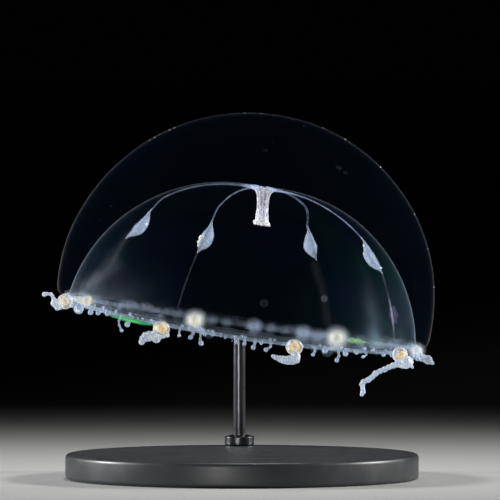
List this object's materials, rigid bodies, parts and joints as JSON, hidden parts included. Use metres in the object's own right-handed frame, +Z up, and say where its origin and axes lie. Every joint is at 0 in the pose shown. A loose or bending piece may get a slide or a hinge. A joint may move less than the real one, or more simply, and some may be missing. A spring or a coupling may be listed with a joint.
{
  "type": "small hydromedusa jellyfish model on a display stand",
  "caption": "Banked clear hemispherical jellyfish with canals, gonads, manubrium, marginal bulbs and short tentacles, on a round base with one rod.",
  "frame": {"origin": "centre of the underside of the stand's round base", "axes": "+Z up; -Y towards the viewer; +X to the viewer's right, the side to which the bell is banked"},
  "size_m": [0.025, 0.0247, 0.0232],
  "materials": {
    "jelly": "clear wet jelly, faint blue haze",
    "membrane": "thin clear veil",
    "milky_flesh": "milky white, wet",
    "canal": "milky blue-white, wet",
    "gonad": "milky blue-white, wet",
    "bulb": "white with an ochre core, wet",
    "tentacle": "granular blue-white, wet",
    "base_metal": "satin black",
    "steel": "fine brushed"
  },
  "bodies": {
    "root": {"bell": "jelly", "velum": "membrane", "manubrium": "milky_flesh", "mouth": "milky_flesh", "canal_1_upper": "canal", "gonad_1": "gonad", "canal_1_lower": "canal", "canal_2_upper": "canal", "gonad_2": "gonad", "canal_2_lower": "canal", "canal_3_upper": "canal", "gonad_3": "gonad", "canal_3_lower": "canal", "canal_4_upper": "canal", "gonad_4": "gonad", "canal_4_lower": "canal", "bulb_1": "bulb", "bulb_2": "bulb", "bulb_3": "bulb", "bulb_4": "bulb", "bulb_5": "bulb", "bulb_6": "bulb", "bulb_7": "bulb", "bulb_8": "bulb", "margin_1": "tentacle", "margin_2": "tentacle", "margin_3": "tentacle", "margin_4": "tentacle", "margin_5": "tentacle", "margin_6": "tentacle", "margin_7": "tentacle", "margin_8": "tentacle", "tentacle_1_root": "tentacle", "tentacle_1_middle": "tentacle", "tentacle_1_tip": "tentacle", "tentacle_2": "tentacle", "tentacle_3": "tentacle", "tentacle_4": "tentacle", "tentacle_5": "tentacle", "tentacle_6": "tentacle", "tentacle_7": "tentacle", "tentacle_8": "tentacle", "stand_base": "base_metal", "stand_collar": "steel", "stand_rod": "steel", "stand_clip": "steel"}
  },
  "joints": []
}
